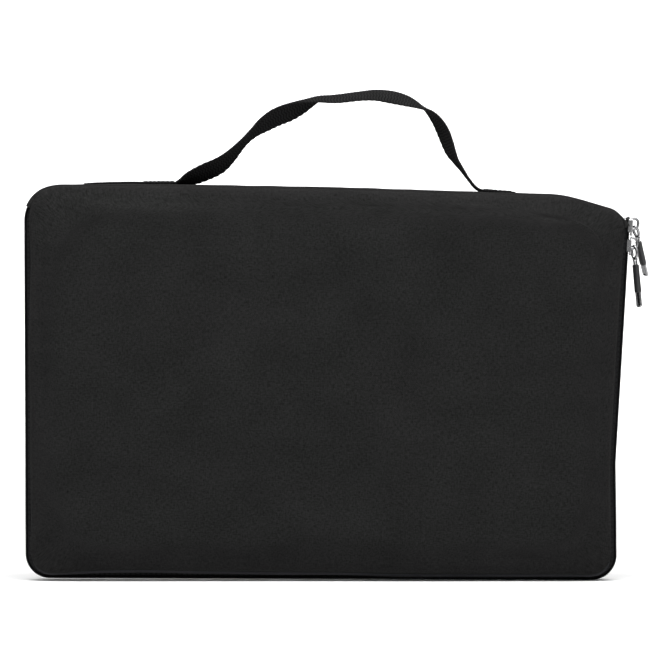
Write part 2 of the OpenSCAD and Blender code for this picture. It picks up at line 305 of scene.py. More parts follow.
def tube(path, radius, sides_n, up, closed=False, flat=1.0):
    """A round wire along a path. up keeps its section from turning; flat squeezes it along up."""
    path = np.asarray(path, float)
    if closed:
        along = np.roll(path, -1, 0) - np.roll(path, 1, 0)
    else:
        along = np.gradient(path, axis=0)
    along = unit(along)
    up = np.broadcast_to(np.asarray(up, float), path.shape)
    wide = unit(np.cross(along, up))
    tall = np.cross(wide, along)
    angle = circle(sides_n)
    radius = np.broadcast_to(np.asarray(radius, float), (len(path),))[:, None, None]
    rings = (path[:, None] + radius * (np.cos(angle)[None, :, None] * wide[:, None]
                                       + flat * np.sin(angle)[None, :, None] * tall[:, None]))
    points = rings.reshape(-1, 3)
    n = len(path)
    faces = grid_faces(n, sides_n, closed=True)
    if closed:
        last = (n - 1) * sides_n
        faces += [[last + k, last + (k + 1) % sides_n, (k + 1) % sides_n, k] for k in range(sides_n)]
    else:
        faces += [list(range(sides_n))[::-1], [(n - 1) * sides_n + k for k in range(sides_n)]]
    return points, faces


def strip(rows, flip=False):
    """A closed band from rows of section points. flip turns it inside out."""
    stations, section = rows.shape[:2]
    faces = grid_faces(stations, section, closed=True)
    faces += [list(range(section))[::-1], [(stations - 1) * section + k for k in range(section)]]
    return rows.reshape(-1, 3), [f[::-1] for f in faces] if flip else faces


def apply_modifiers(piece):
    """Leaves the piece with the mesh that its modifiers make."""
    graph = bpy.context.evaluated_depsgraph_get()
    mesh = bpy.data.meshes.new_from_object(piece.evaluated_get(graph))
    piece.modifiers.clear()
    piece.data = mesh


def place(shape, matrix):
    """A shape moved from its own frame."""
    return shape[0] @ np.array(matrix)[:3, :3].T + np.array(matrix)[:3, 3], shape[1]


def points_of(piece):
    """A piece's points in millimetres."""
    co = np.zeros(len(piece.data.vertices) * 3)
    piece.data.vertices.foreach_get("co", co)
    return co.reshape(-1, 3) / MM


def move_points(piece, points):
    """Gives a piece new points in millimetres."""
    piece.data.vertices.foreach_set("co", (points * MM).astype(np.float32).ravel())


def settle(piece, body, slot, *nodes):
    """Puts a piece on its body, in place of its CAD nodes. slot is not used."""
    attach(piece, body)
    if nodes:
        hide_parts(*nodes)


# ---- materials

class Nodes:
    """Short names for making a material's nodes."""

    def __init__(self, name, base, roughness, metallic=0.0, specular=0.5, sheen=0.0, coat=0.0):
        self.material = bpy.data.materials.new(name)
        self.material.use_nodes = True
        self.tree = self.material.node_tree
        self.shader = self.tree.nodes["Principled BSDF"]
        values = {"Base Color": (*base, 1), "Roughness": roughness, "Metallic": metallic,
                  "Specular IOR Level": specular, "Sheen Weight": sheen, "Sheen Roughness": 0.45,
                  "Coat Weight": coat, "Coat Roughness": 0.25}
        for socket, value in values.items():
            self.shader.inputs[socket].default_value = value
        self.base = base

    def add(self, kind, *values, **settings):
        node = self.tree.nodes.new("ShaderNode" + kind)
        for key, value in settings.items():
            setattr(node, key, value)
        for socket, value in zip(node.inputs, values):
            if isinstance(value, bpy.types.NodeSocket):
                self.tree.links.new(value, socket)
            elif value is not None:
                socket.default_value = value
        return node

    def maths(self, operation, *values):
        return self.add("Math", *values, operation=operation).outputs[0]

    def cloth_place(self):
        """The place on the cloth, in millimetres, as two sockets."""
        cloth = self.add("UVMap", uv_map="weave").outputs[0]
        parts = self.add("SeparateXYZ", cloth)
        return [self.maths("MULTIPLY", parts.outputs[k], 1000.0) for k in (0, 1)]

    def ridges(self, at, pitch):
        """Rounded ridges, one every pitch."""
        return self.maths("ABSOLUTE", self.maths("SINE", self.maths("MULTIPLY", at, math.pi / pitch)))

    def plain_weave(self, u, v, pitch_u, pitch_v):
        """Height of a plain weave: threads pass over and under each other in turn."""
        column = self.maths("FLOOR", self.maths("DIVIDE", u, pitch_u))
        row = self.maths("FLOOR", self.maths("DIVIDE", v, pitch_v))
        over = self.maths("FLOORED_MODULO", self.maths("ADD", column, row), 2.0)
        low = self.maths("MULTIPLY", self.ridges(v, pitch_v), self.maths("SUBTRACT", 1.0, over))
        return self.maths("MULTIPLY_ADD", self.ridges(u, pitch_u), over, low)

    def slub(self, u, v, scale_u, scale_v, seed):
        """Uneven threads: noise drawn out along the cloth."""
        at = self.add("CombineXYZ", self.maths("DIVIDE", u, scale_u), self.maths("DIVIDE", v, scale_v), seed)
        return self.add("TexNoise", at.outputs[0], None, 1.0, 2.0).outputs[0]

    def tint(self, factor):
        """Base colour times a factor that varies over the surface."""
        colour = self.add("CombineColor", *[self.maths("MULTIPLY", factor, c) for c in self.base])
        self.tree.links.new(colour.outputs[0], self.shader.inputs["Base Color"])

    def rough(self, factor, low, high):
        value = self.add("MapRange", factor, 0.0, 1.0, low, high).outputs[0]
        self.tree.links.new(value, self.shader.inputs["Roughness"])

    def bump(self, height, distance_mm, strength):
        node = self.add("Bump", strength, distance_mm * MM)
        self.tree.links.new(height, node.inputs["Height"])
        self.tree.links.new(node.outputs[0], self.shader.inputs["Normal"])


def cloth_material(name, base, pitch, depth, sheen, slub=0.25, stain=0.14):
    """Woven cloth: threads with painted shade between them, uneven yarn, broad wear and a soft sheen."""
    m = Nodes(name, base, 0.95, specular=0.0, sheen=sheen)
    u, v = m.cloth_place()
    weave = m.plain_weave(u, v, pitch[0], pitch[1])
    along = m.slub(u, v, 2.3, 0.95, 3.0)
    across = m.slub(u, v, 0.95, 2.3, 8.0)
    yarn = m.maths("ADD", along, across)
    broad = m.slub(u, v, 34.0, 26.0, 1.0)
    factor = m.maths("MULTIPLY_ADD", yarn, slub, 1.0 - slub)
    # Painted shade: the colour darkens where the threads dip under each other and lightens where they cross
    # over, following the weave's height.
    factor = m.maths("MULTIPLY", factor, m.maths("MULTIPLY_ADD", weave, 0.5, 0.68))
    factor = m.maths("MULTIPLY", factor, m.maths("MULTIPLY_ADD", broad, 2 * stain, 1.0 - stain))
    m.tint(factor)
    m.rough(along, 0.75, 0.95)
    m.bump(m.maths("MULTIPLY_ADD", yarn, 0.35, weave), depth, 0.7)
    return m.material


def ribbed_material(name, base, rib, depth, sheen):
    """Webbing and tape: fine ribs across, with a chevron of threads on them, painted shade in the hollows
    between the ribs and painted light on their crests.
    """
    m = Nodes(name, base, 0.9, specular=0.0, sheen=sheen)
    u, v = m.cloth_place()
    zigzag = m.maths("PINGPONG", v, 2.4)
    slant = m.maths("MULTIPLY_ADD", zigzag, 0.45, u)
    threads = m.maths("MULTIPLY_ADD", m.ridges(v, 0.55), 0.6, 0.4)
    height = m.maths("MULTIPLY", m.ridges(slant, rib), threads)
    worn = m.slub(u, v, 9.0, 5.0, 2.0)
    # Painted light and shade: the colour follows the ribs' height, dark in the hollows between them and
    # light on their crests.
    factor = m.maths("MULTIPLY_ADD", height, 1.7, 0.25)
    m.tint(m.maths("MULTIPLY", factor, m.maths("MULTIPLY_ADD", worn, 0.5, 0.75)))
    m.rough(worn, 0.65, 0.9)
    m.bump(height, depth, 0.8)
    return m.material


def solid_place(m, scale):
    """Noise in the piece's own space, for what has no weave."""
    at = m.add("TexCoord").outputs["Object"]
    return m.add("TexNoise", at, None, scale, 3.0).outputs[0]


def smooth_material(name, base, rough_low, rough_high, specular=0.5, metallic=0.0, coat=0.0,
                    marks=(400.0, 0.5, 0.75), grain=(3000.0, 0.03, 0.5)):
    """Rubber, nylon or metal. marks and grain: noise scale, then the tint's or the bump's two values."""
    m = Nodes(name, base, 0.5, metallic=metallic, specular=specular, coat=coat)
    worn = solid_place(m, marks[0])
    m.tint(m.maths("MULTIPLY_ADD", worn, marks[1], marks[2]))
    m.rough(worn, rough_low, rough_high)
    m.bump(solid_place(m, grain[0]), grain[1], grain[2])
    return m.material


SHELL = cloth_material("shell_cloth", (0.0131, 0.0131, 0.013), (0.62, 0.55), 0.16, 0.02,
                       slub=1.2, stain=0.22)
LINING = cloth_material("lining_cloth", (0.03, 0.03, 0.033), (0.4, 0.4), 0.08, 0.12)
TAPE = ribbed_material("tape_cloth", (0.008, 0.008, 0.0082), 0.9, 0.1, 0.0)
BINDING = ribbed_material("binding_cloth", (0.011, 0.011, 0.0112), 1.1, 0.12, 0.0)
WEBBING = ribbed_material("webbing_cloth", (0.0098, 0.0098, 0.0099), 1.95, 0.3, 0.01)
COIL = smooth_material("coil_nylon", (0.008, 0.008, 0.0085), 0.5, 0.65, 0.06)
THREAD = smooth_material("thread_twist", (0.012, 0.012, 0.0125), 0.6, 0.8, 0.12)
RUBBER = smooth_material("sleeve_rubber", (0.011, 0.011, 0.012), 0.4, 0.6, 0.45)
METAL = smooth_material("plated_metal", (0.3, 0.3, 0.305), 0.18, 0.32, metallic=1.0,
                        marks=(900.0, 0.35, 0.82), grain=(5200.0, 0.02, 0.35))
STOP = smooth_material("painted_stop", (0.02, 0.02, 0.021), 0.3, 0.5, 0.5, coat=0.3)


# ---- padded panels

# The padded edge from the seam over the roll to the face:
# depth, inset at the sides, at the bottom and at the top.
EDGE = np.array([[SEAM_Y - 0.1, 4.7, 4.6, 1.4], [SEAM_Y + 0.7, 3.9, 3.6, 0.5], [14.5, 3.55, 3.05, 0.3],
                 [16.5, 3.8, 2.9, 0.6], [18.5, 4.9, 3.6, 1.7], [20.0, 6.7, 5.3, 3.9],
                 [21.1, 9.1, 7.6, 7.1], [21.9, 12.4, 10.8, 11.5], [22.3, 16.0, 14.5, 16.0]])
EDGE_RINGS = 14
PIN_RINGS = 2
INNER_Y = SEAM_Y + 0.1
# The rings grow rounder over the roll: passes of smoothing, the depth where it starts and its reach.
ROUND_PASSES, ROUND_FROM, ROUND_OVER = 60, 14.5, 7.0
# How far outside the outline the rolled edge's cloth starts, and its width.
CLOTH_OUTSIDE, CLOTH_ROLL = 8.0, 20.0
# The swelling's greatest movement, its passes of smoothing and its length in frames.
SWELL_MM, SOFTEN, SWELL_FRAMES = 2.2, 10, 20
CLOTH = {"quality": 6, "mass": 0.25, "tension_stiffness": 25, "compression_stiffness": 25,
         "bending_stiffness": 0.6, "shrink_min": -0.012, "use_pressure": True,
         "uniform_pressure_force": 4.0, "vertex_group_mass": "held"}
# The depth where the face's relief starts, its reach, and the depth that it never passes.
RELIEF_FROM, RELIEF_OVER, RELIEF_LIMIT = 15.0, 6.5, HALF_T + 5.0


def panel_base():
    """Points, faces and cloth places of one padded panel, lying at +Y, before it swells."""
    at = np.linspace(0, 1, len(EDGE))
    steps = np.linspace(0, 1, EDGE_RINGS)
    profile = np.stack([np.interp(steps, at, EDGE[:, k]) for k in range(4)], 1)
    count = 2 * (ACROSS + UP)
    rings, cloth = [], []
    walked = 0.0
    for k, (depth, side, bottom, top) in enumerate(profile):
        flat = ring(side, bottom, top, ACROSS, UP)
        for _ in range(int(ROUND_PASSES * smooth_step((depth - ROUND_FROM) / ROUND_OVER))):
            flat = 0.5 * flat + 0.25 * (np.roll(flat, 1, 0) + np.roll(flat, -1, 0))
        if k:
            walked += float(np.hypot(depth - profile[k - 1][0], side - profile[k - 1][1]))
        rings.append(upright(flat, depth))
        out = walked - CLOTH_OUTSIDE
        cloth.append(ring(out, out, out, ACROSS, UP) if walked < CLOTH_ROLL else flat)
    face = fill_grid(rings[-1][:, [0, 2]], ACROSS, UP)
    inner = fill_grid(rings[0][:, [0, 2]], ACROSS, UP)
    points = list(np.concatenate(rings))
    weave = list(np.concatenate(cloth))
    faces = grid_faces(EDGE_RINGS, count, closed=True)
    faces += grid_on_ring(points, weave, face, EDGE[-1][0], (EDGE_RINGS - 1) * count, False)
    faces += grid_on_ring(points, weave, inner, INNER_Y, 0, True)
    return np.array(points), faces, np.array(weave)


def grid_on_ring(points, weave, grid, depth, ring_start, inward):
    """Adds a grid's inner points and returns its faces, with its rim on an existing ring."""
    index = np.zeros((ACROSS + 1, UP + 1), int)
    for k, (i, j) in enumerate(rim(ACROSS, UP)):
        index[i, j] = ring_start + k
    for i in range(1, ACROSS):
        for j in range(1, UP):
            index[i, j] = len(points)
            points.append(np.array([grid[i, j, 0], depth, grid[i, j, 1]]))
            weave.append(grid[i, j])
    quads = []
    for i in range(ACROSS):
        for j in range(UP):
            q = [index[i, j], index[i + 1, j], index[i + 1, j + 1], index[i, j + 1]]
            quads.append(q[::-1] if inward else q)
    return quads


def swell(piece, held):
    """Inflates the panel as cloth from its pinned seam and inner face, and caps how far a point moves."""
    start = points_of(piece)
    group = piece.vertex_groups.new(name="held")
    group.add([int(i) for i in held], 1.0, "REPLACE")
    cloth = piece.modifiers.new("Cloth", "CLOTH")
    for key, value in CLOTH.items():
        setattr(cloth.settings, key, value)
    cloth.settings.effector_weights.gravity = 0
    cloth.collision_settings.use_collision = False
    scene = bpy.context.scene
    for number in range(1, SWELL_FRAMES + 1):
        scene.frame_set(number)
    apply_modifiers(piece)
    scene.frame_set(1)
    move = points_of(piece) - start
    edges = np.zeros(len(piece.data.edges) * 2, int)
    piece.data.edges.foreach_get("vertices", edges)
    a, b = edges.reshape(-1, 2).T
    count = np.bincount(a, minlength=len(move)) + np.bincount(b, minlength=len(move))
    for _ in range(SOFTEN):
        total = np.zeros_like(move)
        np.add.at(total, a, move[b])
        np.add.at(total, b, move[a])
        move = 0.5 * move + 0.5 * total / count[:, None]
    move[held] = 0
    far = np.linalg.norm(move, axis=1)
    scale = SWELL_MM * np.tanh(far / SWELL_MM) / np.maximum(far, 1e-6)
    move_points(piece, start + move * scale[:, None])


def bell(x, middle, width):
    """A smooth hump of height one."""
    return np.exp(-((x - middle) / width) ** 2)


def panel_relief(x, z, seed):
    """How far the panel's face stands in (negative) or out, in millimetres: sags, dents and puckers."""
    left = x - LEFT_X
    right = run_x(z) - x
    height = z
    out = -4.6 * bell(left, 3, 22) * bell(z, 160, 75)
    out += -1.2 * bell(right, 4, 16) * bell(z, 90, 80)
    near_left = bell(left, 6, 15) * bell(z, 165, 75)
    out += near_left * 0.55 * np.sin(z / 1.55 + 1.3 * np.sin(z / 17) + seed)
    near_bottom = bell(height, 8, 12)
    out += near_bottom * 0.35 * np.sin(x / 2.6 + 1.7 * np.sin(x / 29) + seed)
    near_top = bell(fold_z(x) - z, 14, 14)
    out += near_top * 0.3 * np.sin(x / 3.4 + 2.0 * np.sin(x / 41) + 2 * seed)
    out += 0.8 * np.sin(x / 47 + seed) * np.sin(z / 38 + 1.2)
    out += 0.5 * np.sin(x / 23 - z / 31 + 2.1 * seed) + 0.3 * np.sin(x / 13 + z / 17 + seed)
    out += -1.3 * bell(x, 30, 60) * bell(z, 62, 26) + 0.9 * bell(x, -70, 70) * bell(z, 40, 30)
    out += -0.9 * bell(x, 120, 30) * bell(z, 100, 30)
    return out


def relief_on(piece, sign, seed):
    """Moves the visible side of a panel in and out, least at the seam."""
    co = points_of(piece)
    share = smooth_step((np.abs(co[:, 1]) - RELIEF_FROM) / RELIEF_OVER)
    co[:, 1] += sign * share * panel_relief(co[:, 0], co[:, 2], seed)
    co[:, 1] = np.clip(co[:, 1], -RELIEF_LIMIT, RELIEF_LIMIT)
    move_points(piece, co)


def make_panels():
    """Both padded panels: the front one is the back one turned over, with its own relief."""
    points, faces, weave = panel_base()
    outward = [f[::-1] for f in faces]
    back = make_piece("back_panel_pad", (points, outward), SHELL, weave)
    count = 2 * (ACROSS + UP)
    inner = np.nonzero(np.abs(points[:, 1] - INNER_Y) < 1e-6)[0]
    held = np.concatenate([np.arange(PIN_RINGS * count), inner])
    swell(back, held)
    back.modifiers.new("Subdivision", "SUBSURF").levels = 1
    apply_modifiers(back)
    move_points(back, stray(points_of(back)))
    front = add_object("front_panel_pad", back.data.copy())
    front.data.name = front.name
    front.data.transform(Matrix.Diagonal((1, -1, 1, 1)))
    front.data.flip_normals()
    for piece, side, sign, seed in ((back, "back", 1, 2.4), (front, "front", -1, 0.0)):
        relief_on(piece, sign, seed)
        settle(piece, side + "_shell", "shell_fabric", side + "_cover", side + "_foam")


# ---- the zip's route

def zip_route():
    """The zip's outer line from the top left end down, along the bottom and up the right side."""
    bottom, right, _, left = sides(0, 0, 0, steps=24)
    run_end = np.array([[run_x(z) - bend, z] for z, bend in ((205.0, 0.0), (227.0, 0.0), (231.0, 0.4),
                                                           (RIGHT_END_Z, 0.9), (RIGHT_END_Z + 1.2, 1.6))])
    right = np.concatenate([right[right[:, 1] < 200.0], run_end])
    left = left[left[:, 1] < LEFT_END_Z + 3]
    line = np.concatenate([left[:-1], bottom[:-1], right])
    return stray(upright(line))[:, [0, 2]]


class Route:
    """The zip's line with its length, its direction and the way inwards at each place."""

    def __init__(self):
        line = zip_route()
        keep = np.concatenate([[True], np.linalg.norm(np.diff(line, axis=0), axis=1) > 1e-6])
        line = resample(line[keep], 2400)
        along = np.gradient(line, axis=0)
        step = np.linalg.norm(along, axis=1)
        self.length = float(step[1:].sum())
        self.at = np.linspace(0, self.length, len(line))
        self.line = line
        along = along / step[:, None]
        soft = np.ones(9) / 9
        self.along = np.stack([np.convolve(np.pad(part, 4, "edge"), soft, "valid") for part in along.T], 1)

    def frames(self, s):
        """Points, directions and inward normals, in X and Z, at lengths s."""
        point = np.stack([np.interp(s, self.at, self.line[:, k]) for k in (0, 1)], 1)
        along = unit(np.stack([np.interp(s, self.at, self.along[:, k]) for k in (0, 1)], 1))
        inward = np.stack([-along[:, 1], along[:, 0]], 1)
        return point, along, inward

    def place(self, s, inset, depth, sign):
        """Points at an inset and a depth from the parting plane, on the back (1) or front (-1) half."""
        point, _, inward = self.frames(s)
        return upright(point + inward * np.asarray(inset)[..., None], sign * np.asarray(depth, float))


ROUTE = Route()
HALVES = (("back", 1), ("front", -1))
TAPE_T = 0.65
TAPE_DEPTHS = [0.9, 2.0, CHAIN_HALF_W + 0.2, 5.0, 7.0, 9.0, 11.0, SEAM_Y - 0.05]
# The coil's wire and its turns, and the cord that they are wound on.
WIRE_R, WIRE_PER_TURN, TURN_DEPTH, TURN_REACH = 0.33, 10, 1.17, 1.5
CORD_R, CORD_FLAT, CORD_DEPTH = 1.1, 0.6, 1.35


def tape_inset(s, depth):
    """Inset of the tape's outer face: it leans in from the coil to the seam, least along the bottom."""
    _, _, inward = ROUTE.frames(s)
    lean = 2.2 - 0.2 * np.clip(inward[:, 1], 0, 1)
    waves = 0.12 * np.sin(s / 5.3) * np.sin(s / 37.0)
    return COIL_H + (lean + 0.25 + waves) * smooth_step((depth - CHAIN_HALF_W) / 9.5)


def band_piece(name, s, section, sign, material):
    """A closed woven band along the route. section is a list of (inset function, depth)."""
    rows = np.stack([ROUTE.place(s, inset(s), depth, sign) for inset, depth in section], 1)
    weave = cloth_grid(s, walked_along(rows[0]))
    return make_piece(name, strip(rows, sign < 0), material, weave, sharp=50)


def make_tapes():
    """The woven tape of each half, from under the coil to the seam."""
    s = np.arange(0, ROUTE.length, 2.0)
    for side, sign in HALVES:
        outer = [(lambda s, d=d: tape_inset(s, d), d) for d in TAPE_DEPTHS]
        inner = [(lambda s, d=d: tape_inset(s, d) + TAPE_T, d) for d in TAPE_DEPTHS[::-1]]
        piece = band_piece(side + "_zip_tape", s, outer + inner, sign, TAPE)
        settle(piece, side + "_shell", "zip_tape", side + "_tape")


def make_bindings():
    """The bound edge of the seam inside each half."""
    s = np.arange(2.0, ROUTE.length - 3, 2.5)
    for side, sign in HALVES:
        section = []
        for turn in circle(14):
            depth = SEAM_Y - 1.7 + 1.35 * blunt(math.cos(turn), 0.6)
            rise = 1.35 + 0.55 * blunt(math.sin(turn), 0.6)
            section.append((lambda s, r=rise, d=depth: tape_inset(s, d) + r + 0.06 * np.sin(s / 2.1), depth))
        piece = band_piece(side + "_seam_binding", s, section, sign, BINDING)
        settle(piece, side + "_shell", "binding_tape", side + "_binding")


def make_coils():
    """The coil of each half: a wire wound in flat turns, whose heads pass those of the other half."""
    left_end = 3.0
    right_end = ROUTE.length - 1.9
    turns = int((right_end - left_end) / TEETH_PITCH)
    cord_s = np.linspace(left_end, right_end, 420)
    for k, (side, sign) in enumerate(HALVES):
        phase = np.arange(turns * WIRE_PER_TURN) * 2 * math.pi / WIRE_PER_TURN
        s = left_end + TEETH_PITCH * (phase / (2 * math.pi) + 0.5 * k)
        depth = TURN_DEPTH + TURN_REACH * np.cos(phase)
        inset = 0.5 * COIL_H + 0.05 + (0.5 * COIL_H - WIRE_R) * np.sin(phase)
        wound = tube(ROUTE.place(s, inset, depth, sign), WIRE_R, 6, upright(ROUTE.frames(s)[1]))
        cord = tube(ROUTE.place(cord_s, 0.5 * COIL_H + 0.1, CORD_DEPTH, sign), CORD_R, 10,
                    upright(ROUTE.frames(cord_s)[2]), flat=CORD_FLAT)
        piece = make_piece(side + "_zip_coil", join_parts([wound, cord]), COIL)
        settle(piece, side + "_shell", "zip_coil", side + "_coil")


def stitches(places, outward, radius):
    """One raised thread for each pair of places: a short wire whose ends dive into the cloth."""
    parts = []
    for (a, b), out in zip(places, outward):
        t = np.array([0.0, 0.16, 0.5, 0.84, 1.0])[:, None]
        lift = np.array([-0.9, 0.2, 0.55, 0.2, -0.9])[:, None] * radius
        path = a + (b - a) * t + out * lift
        parts.append(tube(path, radius, 6, out))
    return join_parts(parts)


def route_stitches(sign, depth, pitch=3.3, gap=0.7, radius=0.26):
    """A row of stitches on the tape's outer face."""
    starts = np.arange(4.0, ROUTE.length - 6, pitch)
    a = ROUTE.place(starts, tape_inset(starts, depth), depth, sign)
    ends = starts + pitch - gap
    b = ROUTE.place(ends, tape_inset(ends, depth), depth, sign)
    return stitches(list(zip(a, b)), -upright(ROUTE.frames(starts)[2]), radius)


def make_tape_stitches():
    """Two rows of stitches on each half's tape."""
    for side, sign in HALVES:
        rows = [route_stitches(sign, SEAM_Y - from_seam) for from_seam in (1.9, 4.6)]
        piece = make_piece(side + "_tape_stitches", join_parts(rows), THREAD)
        settle(piece, side + "_shell", "thread")


def make_stops():
    """The clamps at both ends of each half's coil: bent strips of dark metal over the coil."""
    grow = np.array([1, 1.056, 1.084, 1.0945, 1.084, 1.056, 1])
    for side, sign in HALVES:
        for end, middle in (("left", 2.4), ("top", ROUTE.length - 1.3)):
            s = np.linspace(middle - 1.0, middle + 1.0, len(grow))
            rows = []
            for t in circle(20):
                wide = 1.1 * blunt(math.cos(t), 0.5)
                tall = 1.15 * blunt(math.sin(t), 0.5)
                rows.append(ROUTE.place(s, 0.95 + tall * grow, 2.1 + wide * grow, sign))
            piece = make_piece(f"{side}_{end}_stop_clamp", strip(np.stack(rows, 1)), STOP, sharp=50)
            settle(piece, side + "_shell", "stop_metal", f"{side}_{end}_stop")


# ---- linings

LINING_T = 0.3


def make_linings():
    """A plain woven sheet over each pad's inner side."""
    across, up = 72, 48
    inner_y = box_mm("back_lining")[0][1] + 0.15
    for side, sign in HALVES:
        grid = fill_grid(ring(4.8, 2.6, 4.0, across, up), across, up)
        x, z = grid[..., 0], grid[..., 1]
        edge = np.minimum(np.minimum(x - LEFT_X, run_x(z) - x), np.minimum(z, fold_z(x) - z))
        ripple = 0.16 * np.sin(x / 9.0 + 1.5 * np.sin(z / 21)) * np.sin(z / 14.0)
        depth = inner_y + ripple * smooth_step((edge - 6) / 14)
        near = stray(np.stack([x, sign * depth, z], -1).reshape(-1, 3))
        far = stray(np.stack([x, sign * (depth + LINING_T), z], -1).reshape(-1, 3))
        n = len(near)
        faces = grid_faces(across + 1, up + 1)
        faces = faces + [[v + n for v in f[::-1]] for f in faces]
        rim_ids = [i * (up + 1) + j for i, j in rim(across, up)]
        for a, b in zip(rim_ids, rim_ids[1:] + rim_ids[:1]):
            faces.append([b, a, a + n, b + n])
        if sign > 0:
            faces = [f[::-1] for f in faces]
        weave = np.concatenate([grid.reshape(-1, 2)] * 2)
        shape = np.concatenate([near, far]), faces
        piece = make_piece(side + "_lining_sheet", shape, LINING, weave, sharp=50)
        settle(piece, side + "_shell", "lining_fabric", side + "_lining")


# ---- spine

def top_route():
    """The top edge from the left end of the spine to its right end, in X and Z."""
    _, _, top, left = sides(0, 0, 0, steps=24)
    left = left[left[:, 1] > LEFT_END_Z - 1.5][::-1]
    line = resample(np.concatenate([left[:-1], top[::-1]]), 170)
    return stray(upright(line))[:, [0, 2]]


def spine_rows(sign, section):
    """Points of the spine's section, given as (Y, inset), along the top edge."""
    line = top_route()
    along = unit(np.gradient(line, axis=0))
    inward = np.stack([along[:, 1], -along[:, 0]], 1)
    return np.stack([upright(line + inward * inset, sign * y) for y, inset in section], 1), line


def make_spine():
    """The padded strip between the panels, in two halves whose edges round down into their seams."""
    edge = FOLD_Y + 0.25
    top = [(y, -0.25 + 0.25 * smooth_step((y - 5) / 5)) for y in (0.0, 2.5, 5.0, 7.0, 8.5, 9.3)]
    top += [(9.9, 0.05), (10.5, 0.2), (11.1, 0.45), (11.6, 0.8), (edge - 0.15, 1.25), (edge, 1.6)]
    under = [(edge, 4.7), (11.6, 4.7), (9.3, 4.6), (0.0, 4.6)]
    for side, sign in HALVES:
        rows, line = spine_rows(sign, top + under)
        crumple = 0.12 * np.sin(line[:, 0] / 4.1) * np.sin(line[:, 0] / 23.0)
        rows[:, 1:8, 2] += crumple[:, None]
        across = np.array([t[0] for t in top] + [12.2 + k for k in range(len(under))])
        weave = cloth_grid(walked_along(line), across)
        piece = make_piece("spine_pad_" + side, strip(rows, sign < 0), SHELL, weave, sharp=60)
        if sign > 0:
            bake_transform(piece)
        else:
            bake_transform(piece)
        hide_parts("spine_cover", "spine_foam")


def make_spine_lining():
    """The lining under the flat part of the spine."""
    left_x = box_mm("spine_lining")[0][0] + 2
    stations = (-11.2, -6, 0, 6, 11.2)
    rows, line = spine_rows(1, [(y, 4.75) for y in stations] + [(y, 5.15) for y in stations[::-1]])
    inside = (line[:, 0] > left_x) & (line[:, 0] < 158)
    rows, line = rows[inside], line[inside]
    across = np.array([0, 5.2, 11.2, 17.2, 22.4, 22.8, 28, 34, 40, 45.2])
    weave = cloth_grid(line[:, 0], across)
    piece = make_piece("spine_lining_sheet", strip(rows), LINING, weave, sharp=50)
    settle(piece, "spine", "lining_fabric", "spine_lining")


# ---- handle

# Stations of the webbing's middle line, left to right: X, height above the fold line, Y,
# turn about its run (0 lies flat, negative shows the underside to the front) and cupping in degrees.
HANDLE = np.array([
    [-152, 0.2, 0, 0, 0], [-143, 0.6, 0, 0, 0], [-125, 1, 0, 0, 0], [-97, 1.15, 0, 0, 0],
    [-91.5, 1.7, 0, -6, 8],
    [-84.2, 5, 0, -26, 20], [-75.2, 9.2, -0.5, -34, 30], [-65.8, 13.8, -1, -32, 35],
    [-58.5, 19.8, -1, -22, 30], [-50.2, 28.6, -1, -12, 25], [-43.9, 34.9, -1.5, -15, 35],
    [-37.3, 40.4, -2, -28, 45], [-29.3, 45.6, -2, -37, 60], [-21.2, 49.2, -2, -38, 75],
    [-13.5, 52.6, -1.5, -27, 90], [-6.8, 55.3, -1, -9, 95], [-0.3, 57.2, -1, 6, 80],
    [10.3, 58.1, -1, 17, 50], [25.1, 60, -1, 20, 35], [35, 60.8, -1, 24, 35],
    [44.4, 59.9, -0.5, 28, 35], [52.4, 58.2, 0, 26, 30], [58.8, 56, 0, 19, 25],
    [65.6, 52.6, 0, 5, 20], [70.7, 49.2, 0.3, -9, 25], [75.4, 44, 0.5, -18, 30],
    [79.2, 37.3, 0.5, -23, 35], [81.8, 30.6, 0.5, -22, 35], [84.1, 24.4, 0.5, -17, 30],
    [87, 18.8, 0.2, -8, 20], [90.9, 13.2, 0, -3, 10], [94.7, 7.6, 0, 0, 5], [99, 3.4, 0, 0, 0],
    [103.5, 1.3, 0, 0, 0], [114, 0.8, 0, 0, 0], [125, 0.3, 0, 0, 0]])
LOOP_MIDDLE_X = 14.0
HANDLE_STEP = 0.45


def spline(values, steps):
    """Catmull-Rom through rows of values, evenly dense by steps per span."""
    padded = np.concatenate([[2 * values[0] - values[1]], values, [2 * values[-1] - values[-2]]])
    out = []
    t = np.linspace(0, 1, steps, endpoint=False)[:, None]
    for i in range(len(values) - 1):
        a, b, c, d = padded[i:i + 4]
        out.append(0.5 * (2 * b + (c - a) * t + (2 * a - 5 * b + 4 * c - d) * t ** 2
                          + (3 * b - a - 3 * c + d) * t ** 3))
    return np.concatenate(out + [values[-1:]])


def handle_stations():
    """Closely spaced stations: points, directions, turn and cupping in radians, and length so far."""
    fine = spline(HANDLE, 40)
    points = np.stack([fine[:, 0], fine[:, 2], fold_z(fine[:, 0]) + fine[:, 1]], 1)
    on_spine = smooth_step((8 - fine[:, 1]) / 6)
    points[:, 2] += on_spine * smooth_table(TOP_STRAY, points[:, 0])
    walked = walked_along(points)
    at = np.arange(0, walked[-1], HANDLE_STEP)
    points = np.stack([np.interp(at, walked, points[:, k]) for k in range(3)], 1)
    turn = np.radians(np.interp(at, walked, fine[:, 3]))
    cup = np.radians(np.interp(at, walked, fine[:, 4]))
    return points, unit(np.gradient(points, axis=0)), turn, cup, at


